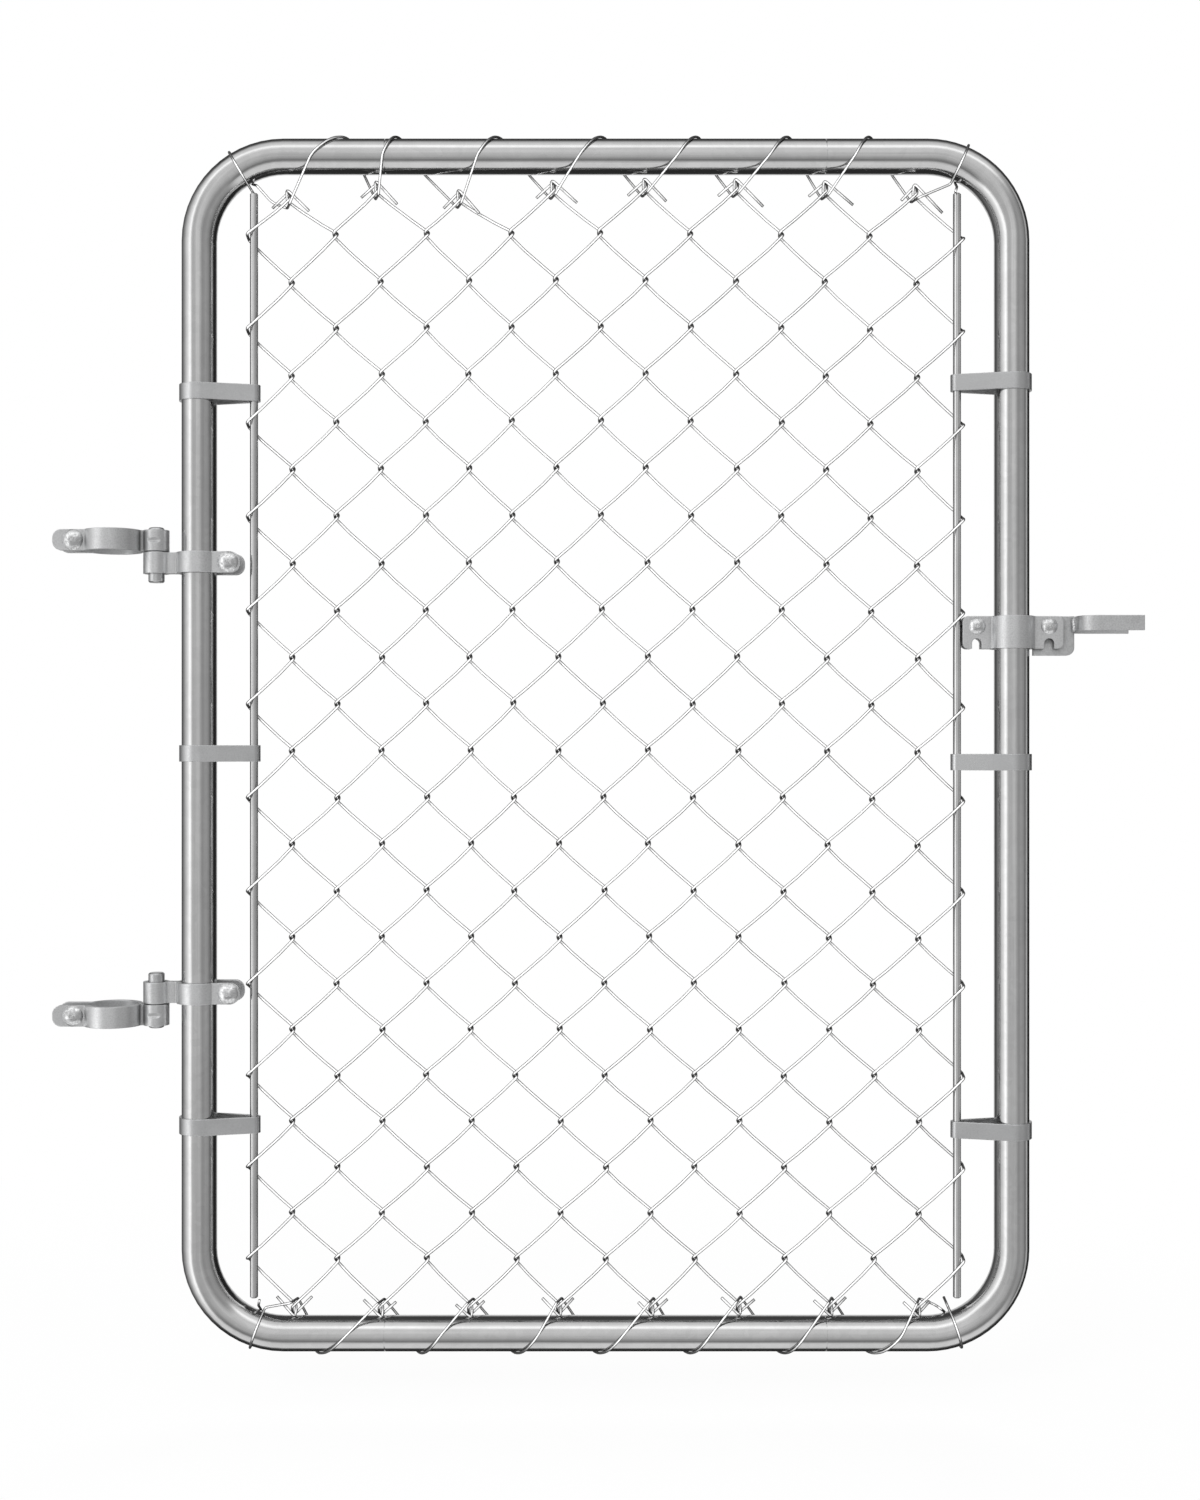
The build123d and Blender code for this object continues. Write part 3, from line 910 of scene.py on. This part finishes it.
@dataclass(frozen=True)
class Lacing:
    """Wire laced round a rail: a turn at each knuckle with a slant of its own, and a tie at each end."""

    node: str
    rail: str
    up: int
    row: int
    turns: tuple[tuple[float, float, float], ...]
    ties: tuple[float, float]
    wire: float = 2.6 * MM
    play: float = 0.25 * MM
    drop: float = 8.0 * MM
    tie_drop: float = 22.5 * MM
    tie_pitch: float = 7.0 * MM
    tie_parts: int = 8
    tail: float = 8.0 * MM
    lead: tuple[float, float, float] = (-18.0, 9.0, -2.0)  # from the first knuckle, in mm
    lead_bend: float = 16 * MM
    half_pass: tuple[float, float] = (2.5 * MM, 8.5 * MM)
    tight_bend: float = 3 * MM
    wide_bend: float = 30 * MM
    wrap: tuple[int, int, int] = (81, 290, 22)  # first angle, angle of the back edge and step
    sides: int = 12
    outline: FrameOutline = field(default_factory=FrameOutline)

    def build(self, panel: WovenPanel) -> bpy.types.Object:
        """Make the wire.

        Args:
            panel: The woven wire whose knuckles it passes through.

        Returns:
            The lacing.
        """
        knots = [panel.knot(column, self.row) for column in range(1, panel.pickets, 2)]
        if self.up < 0:
            knots.reverse()
        seats = [self.corner_seat(-self.up, self.ties[0]), self.corner_seat(self.up, self.ties[1])]
        route = self.tie(seats[0])
        across, back, above = (value * MM for value in self.lead)
        route.append((knots[0] + Vector((across * self.up, back, above * self.up)), self.lead_bend))
        for knot, turn in zip(knots, self.turns):
            route += self.through(knot) + self.round_rail(turn)
        route += self.through(knots[-1]) + self.tie(seats[1])
        start = seats[0].at(0, self.tail, -self.tie_drop - self.tail)
        end = seats[1].at(self.tie_pitch, -self.tail, -self.tie_drop - self.tail)
        corners = [start] + [point for point, _ in route] + [end]
        line = rounded_line(corners, [bend for _, bend in route], 3)
        shape = Shape()
        shape.tube(line, [self.wire / 2] * len(line), self.sides)
        piece = shape.piece(self.node.replace("wire", "loops"))
        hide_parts(self.node)
        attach(piece, Body.LEAF.value)
        return piece

    def ring(self) -> float:
        """Radius of the wire's middle line where it lies on the tube."""
        return self.outline.tube / 2 + self.play + self.wire / 2

    def through(self, knot: Vector) -> list[tuple[Vector, float]]:
        """The pass from the back to the front, inside a knuckle.

        Args:
            knot: The knuckle's middle.

        Returns:
            The corners with their bends.
        """
        across, depth = self.half_pass
        inward = -self.up * self.drop
        back = knot + Vector((-across * self.up, depth, inward))
        front = knot + Vector((across * self.up, -depth, inward))
        return [(back, self.tight_bend), (front, self.tight_bend)]

    def round_rail(self, turn: tuple[float, float, float]) -> list[tuple[Vector, float]]:
        """One turn over the rail.

        Args:
            turn: Its place along the rail at the front edge, the crest and the back edge, in mm.

        Returns:
            The corners with their bends.
        """
        edge, crest, back = (value * MM for value in turn)
        first, last, step = self.wrap
        radius = self.ring() / math.cos(math.radians(step / 2))
        route = []
        for angle in range(first, last, step):
            share = (angle - 180) / (last - 180)
            along = crest + (back - crest) * share if share > 0 else crest + (crest - edge) * share
            turned = math.radians(angle)
            place = Vector((along, -radius * math.sin(turned), -self.up * radius * math.cos(turned)))
            route.append((place + Vector((0, 0, middle(self.rail).z)), self.wide_bend))
        return route

    def tie(self, seat: Seat) -> list[tuple[Vector, float]]:
        """One tight turn round a corner of the frame.

        Args:
            seat: The tie's place on the tube's axis.

        Returns:
            The corners with their bends.
        """
        first = math.degrees(math.acos(self.ring() / self.tie_drop))
        step = (360 - 2 * first) / self.tie_parts
        radius = self.ring() / math.cos(math.radians(step / 2))
        route = [(seat.at(0, 0, -self.tie_drop), self.tight_bend)]
        for index in range(self.tie_parts):
            angle = math.radians(first + step * (index + 0.5))
            along = self.tie_pitch * (index + 0.5) / (2 * self.tie_parts)
            place = seat.at(along, -radius * math.sin(angle), -radius * math.cos(angle))
            route.append((place, self.wide_bend))
        route.append((seat.at(self.tie_pitch, 0, -self.tie_drop), self.tight_bend))
        return route

    def corner_seat(self, side: int, angle: float) -> Seat:
        """Place of a tie on the middle line of a corner.

        Args:
            side: 1 for the latch side, -1 for the hinge side.
            angle: Its angle from the level, in degrees.

        Returns:
            The seat.
        """
        sockets = self.outline.sockets()
        out = Vector((side * math.cos(math.radians(angle)), 0, self.up * math.sin(math.radians(angle))))
        corner = self.outline.corner
        centre = Vector((
            sockets["Middle_X"] + side * (sockets["Half_Width"] - corner),
            0,
            sockets["Middle_Z"] + self.up * (sockets["Half_Height"] - corner),
        ))
        return Seat(centre + out * corner, out)


@dataclass
class BoltMarks:
    """The ring on each domed head and the thread that shows past each nut."""

    ring_radius: float = 2.1 * MM
    ring_wire: float = 0.45 * MM
    ring_depth: float = 0.25 * MM
    pitch: float = 1.5 * MM
    thread_depth: float = 0.35 * MM
    thread_end: float = 1.1 * MM
    tip: float = 1.2 * MM
    steps: int = 28
    bodies: tuple[tuple[Body, tuple[str, ...]], ...] = (
        (Body.POST, ("upper_post", "lower_post")),
        (Body.LEAF, ("upper_gate", "lower_gate", "latch_pivot", "latch_clamp")),
    )

    def build(self) -> list[bpy.types.Object]:
        """Make the marks of every bolt, one mesh for each body.

        Returns:
            The pieces.
        """
        pieces = []
        for body, names in self.bodies:
            shape = Shape()
            for name in names:
                self.head_ring(shape, name + "_bolt")
                self.thread(shape, name + "_bolt", name + "_nut")
            piece = shape.piece(body.value + "_bolt_marks")
            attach(piece, body.value)
            pieces.append(piece)
        return pieces

    def head_ring(self, shape: Shape, bolt: str) -> None:
        """Raised ring in the middle of a domed head.

        Args:
            shape: Where it goes.
            bolt: The bolt's node.
        """
        low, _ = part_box(bolt)
        centre = middle(bolt)
        y = low.y + self.ring_depth
        line = []
        for step in range(self.steps):
            angle = 2 * math.pi * step / self.steps
            offset = Vector((math.cos(angle), 0, math.sin(angle))) * self.ring_radius
            line.append(Vector((centre.x, y, centre.z)) + offset)
        shape.tube(line, [self.ring_wire] * len(line), 8, closed=True)

    def thread(self, shape: Shape, bolt: str, nut: str) -> None:
        """Thread on the stretch of the shank that shows past its nut.

        Args:
            shape: Where it goes.
            bolt: The bolt's node.
            nut: The nut's node.
        """
        _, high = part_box(bolt)
        _, nut_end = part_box(nut)
        centre = middle(bolt)
        radius = self.shank(bolt)
        length = high.y - nut_end.y - self.thread_end
        turns = length / self.pitch + 0.6
        steps = int(turns * self.steps)
        line, radii = [], []
        for step in range(steps + 1):
            share = step / steps
            angle = 2 * math.pi * turns * share
            y = nut_end.y - 0.4 * self.pitch + (length + 0.4 * self.pitch) * share
            offset = Vector((math.cos(angle), 0, math.sin(angle))) * radius
            line.append(Vector((centre.x, y, centre.z)) + offset)
            radii.append(self.thread_depth * min(1.0, 6 * share + 0.2, 6 * (1 - share) + 0.2))
        shape.tube(line, radii, 6)

    def shank(self, bolt: str) -> float:
        """Radius of a bolt's shank, read from the far end of its node.

        Args:
            bolt: The bolt's node.

        Returns:
            The radius.
        """
        node = frame["nodes"][bolt]
        _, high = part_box(bolt)
        centre = middle(bolt)
        ends = [v.co for v in node.data.vertices if v.co.y > high.y - self.tip]
        return max(math.hypot(p.x - centre.x, p.z - centre.z) for p in ends)


@dataclass
class ForkWeld:
    """Lumpy bead on both sides of the plate, where the tines are welded on."""

    radius: float = 2.2 * MM
    ripple: float = 0.55 * MM
    waves: float = 5.5
    sway: float = 0.4 * MM
    jitter: float = 0.1 * MM
    end_gap: float = 0.4 * MM
    steps: int = 44
    sides: int = 14
    seed: int = 7

    def build(self) -> bpy.types.Object:
        """Make both beads as one mesh.

        Returns:
            The weld.
        """
        chance = random.Random(self.seed)
        plate_low, plate_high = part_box("fork_plate")
        low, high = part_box("fork_tines")
        x = plate_high.x - 0.3 * self.radius
        shape = Shape()
        for side in (-1, 1):
            line, radii = [], []
            for step in range(self.steps + 1):
                share = step / self.steps
                z = low.z + self.end_gap + (high.z - low.z - 2 * self.end_gap) * share
                sway = self.sway * math.sin(9 * share + side) + chance.uniform(-1, 1) * self.jitter
                y = side * ((plate_high.y - plate_low.y) / 2 + 0.45 * self.radius)
                line.append(Vector((x + sway, y, z)))
                swell = abs(math.sin(math.pi * self.waves * share))
                ends = min(1.0, 0.45 + 5 * share, 0.45 + 5 * (1 - share))
                radii.append((self.radius + self.ripple * (swell - 0.5)) * ends)
            shape.tube(line, radii, self.sides)
        piece = shape.piece("fork_weld_bead")
        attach(piece, Body.FORK.value)
        return piece


@dataclass(frozen=True)
class SoftBox:
    """A square lamp that looks at the gate."""

    name: str
    place: tuple[float, float, float]
    side: float
    power: float


@dataclass
class Studio:
    """Camera, lamps, backdrop and floor."""

    distance: float = 1.8
    field_height: float = 1.5
    eye: tuple[float, float] = (0.4864, 0.267)
    look_height: float = 0.264
    floor_gap: float = 0.05
    floor_half: float = 6.0
    sensor: float = 36.0
    side_levels: Steps = (
        (-179, 0.75), (179, 0.75), (-162, 0.6), (-152, 0.08), (-132, 0.10), (-120, 0.18),
        (-100, 0.40), (-80, 0.74), (-64, 1.05), (-54, 1.42), (-46, 1.30), (-38, 0.64), (-30, 0.53),
        (-12, 0.56), (0, 0.66), (10, 0.60), (22, 0.44), (30, 0.34), (40, 0.36), (50, 0.40),
        (70, 0.34), (78, 0.26), (88, 0.12), (96, 0.55), (104, 0.55), (110, 0.10), (116, 0.02),
        (148, 0.02), (160, 0.6),
    )
    crown_levels: Steps = (
        (-179, 0.75), (179, 0.75), (-160, 0.5), (-150, 0.03), (-104, 0.03), (-96, 0.22),
        (-88, 0.85), (-78, 0.80), (-58, 0.80), (-50, 0.66), (-42, 0.30), (-36, 0.20), (-28, 0.34),
        (-14, 0.52), (4, 0.62), (16, 0.74), (26, 0.76), (38, 0.74), (46, 1.10), (54, 1.40),
        (60, 1.15), (68, 0.86), (82, 0.74), (92, 0.55), (102, 0.20), (112, 0.06), (148, 0.06),
        (160, 0.6),
    )
    soft_boxes: tuple[SoftBox, ...] = (
        SoftBox("front_soft_box", (-0.9, -2.6, 1.3), 1.6, 80.0),
        SoftBox("back_soft_box", (1.6, 2.6, 1.6), 1.6, 60.0),
    )
    floor_tones: tuple[float, float] = (0.86, 0.9)
    floor_glow: tuple[float, float] = (0.93, 1.0)
    glow_reach: tuple[float, float] = (0.5, 1.3)
    turn_to_crown: tuple[float, float] = (0.3, 0.7)

    def build(self) -> None:
        """Set up everything round the gate."""
        self.camera()
        self.lamps()
        self.world()
        self.floor()
        scene = bpy.context.scene
        scene.view_settings.view_transform = "Standard"

    def camera(self) -> None:
        """Level camera, straight on, as far away as the photograph was taken from."""
        data = bpy.data.cameras.new("camera")
        data.sensor_width = self.sensor
        data.lens = self.sensor * self.distance / self.field_height
        data.shift_y = (self.look_height - self.eye[1]) / self.field_height
        data.clip_end = 50
        camera = bpy.data.objects.new("camera", data)
        camera.location = (self.eye[0], -self.distance, self.eye[1])
        camera.rotation_euler = (math.radians(90), 0, 0)
        bpy.context.scene.collection.objects.link(camera)
        bpy.context.scene.camera = camera

    def lamps(self) -> None:
        """Light the matt share of the zinc and the floor; the lamps stay out of its mirror image."""
        for box in self.soft_boxes:
            data = bpy.data.lights.new(box.name, "AREA")
            data.shape = "RECTANGLE"
            data.size = box.side
            data.size_y = box.side
            data.energy = box.power
            lamp = bpy.data.objects.new(box.name, data)
            lamp.location = box.place
            aim = Vector((self.eye[0], 0, self.eye[1])) - Vector(box.place)
            lamp.rotation_euler = aim.to_track_quat("-Z", "Y").to_euler()
            lamp.visible_glossy = False
            bpy.context.scene.collection.objects.link(lamp)

    def ramp(self, bench: Bench, value: Socket, stops: Steps) -> Socket:
        """Grey level by angle, in degrees from -180 to 180.

        Args:
            bench: The world's bench.
            value: The angle in radians.
            stops: Angles with their levels.

        Returns:
            The level's output.
        """
        node = bench.add("ValToRGB", {0: bench.math("MULTIPLY_ADD", value, 0.5 / math.pi, 0.5)})
        ramp = node.color_ramp
        ramp.interpolation = "LINEAR"
        for index, (angle, level) in enumerate(stops):
            place = angle / 360 + 0.5
            stop = ramp.elements[index] if index < 2 else ramp.elements.new(place)
            stop.position = place
            stop.color = (level, level, level, 1)
        return node.outputs[0]

    def world(self) -> None:
        """White backdrop for the eye, and the room that the zinc reflects: bright sides, dark flags."""
        world = bpy.data.worlds.new("studio")
        world.use_nodes = True
        bpy.context.scene.world = world
        bench = Bench(world.node_tree)
        world.node_tree.nodes.clear()
        way = bench.add("SeparateXYZ", {0: bench.add("TexCoord").outputs["Generated"]})
        toward = bench.math("MULTIPLY", way.outputs[1], -1.0)
        level = self.ramp(bench, bench.math("ARCTAN2", way.outputs[0], toward), self.side_levels)
        crown = self.ramp(bench, bench.math("ARCTAN2", way.outputs[2], toward), self.crown_levels)
        up_square = bench.math("POWER", way.outputs[2], 2.0)
        across_square = bench.math("POWER", way.outputs[0], 2.0)
        upright = bench.math("DIVIDE", up_square, bench.math("ADD", up_square, across_square))
        room = bench.blend(bench.remap(upright, *self.turn_to_crown), level, crown)
        shown = bench.add("LightPath")
        straight = bench.math("MAXIMUM", shown.outputs["Is Camera Ray"], shown.outputs["Is Transmission Ray"])
        light = bench.add("Background", {"Color": bench.blend(straight, room, (1, 1, 1, 1))})
        bench.add("OutputWorld", {"Surface": light.outputs[0]})

    def floor(self) -> None:
        """Pale floor a hand below the frame, which keeps a soft shadow."""
        low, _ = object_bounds()
        half = self.floor_half
        mesh = bpy.data.meshes.new("floor")
        corners = [(-half, -half, 0), (half, -half, 0), (half, half, 0), (-half, half, 0)]
        mesh.from_pydata(corners, [], [(0, 1, 2, 3)])
        floor = bpy.data.objects.new("floor", mesh)
        floor.location = (self.eye[0], 0, low.z - self.floor_gap)
        bpy.context.scene.collection.objects.link(floor)
        material = bpy.data.materials.new("pale_floor")
        material.use_nodes = True
        bench = Bench(material.node_tree)
        material.node_tree.nodes.clear()
        place = bench.add("TexCoord").outputs["Object"]
        dark, pale = ((tone, tone, tone, 1) for tone in self.floor_tones)
        matt = bench.add("BsdfDiffuse", {"Color": bench.blend(bench.noise(place, 40.0), dark, pale)})
        glow = bench.add("Emission")
        shown = bench.add("LightPath")
        seen = bench.math("MAXIMUM", shown.outputs["Is Camera Ray"], shown.outputs["Is Transmission Ray"])
        reach = bench.add("VectorMath", {0: place}, operation="LENGTH").outputs["Value"]
        white = bench.remap(reach, *self.glow_reach, self.floor_glow)
        share = bench.math("MULTIPLY", seen, white)
        both = bench.add("MixShader", {0: share, 1: matt.outputs[0], 2: glow.outputs[0]})
        bench.add("OutputMaterial", {"Surface": both.outputs[0]})
        mesh.materials.append(material)
        floor.visible_glossy = False
        floor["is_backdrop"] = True


LACINGS = (
    Lacing(
        "top_lacing_wire", "top_rail", 1, 0,
        (
            (196.9, 233.6, 245.0), (269.3, 285.3, 302.2), (363.0, 386.1, 408.7), (463.8, 491.3, 504.9),
            (561.5, 585.8, 598.0), (652.7, 676.4, 692.0), (737.8, 757.3, 777.0),
        ),
        (57.5, 67.5),
    ),
    Lacing(
        "bottom_lacing_wire", "bottom_rail", -1, 24,
        (
            (788.5, 754.9, 736.0), (692.2, 666.1, 646.0), (597.8, 572.2, 554.0), (511.7, 481.4, 464.0),
            (427.4, 399.9, 378.0), (330.6, 304.7, 288.0), (237.9, 202.6, 194.0),
        ),
        (70.0, 72.0),
    ),
)


def main() -> None:
    """Build and dress the gate, then set it in its studio."""
    logging.basicConfig(level=logging.INFO, format="%(message)s")
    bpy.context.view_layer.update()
    wardrobe = Wardrobe()
    wardrobe.dress_frame()
    panel = WovenPanel()
    pieces = [(panel.build(), Finish.WIRE)]
    pieces += [(lacing.build(panel), Finish.LACING) for lacing in LACINGS]
    pieces += [(marks, Finish.FASTENER) for marks in BoltMarks().build()]
    pieces.append((ForkWeld().build(), Finish.WELD))
    for piece, finish in pieces:
        wardrobe.dress(piece, finish)
        log.info("built %s", piece.name)
    Studio().build()


if __name__ == "__main__":
    main()
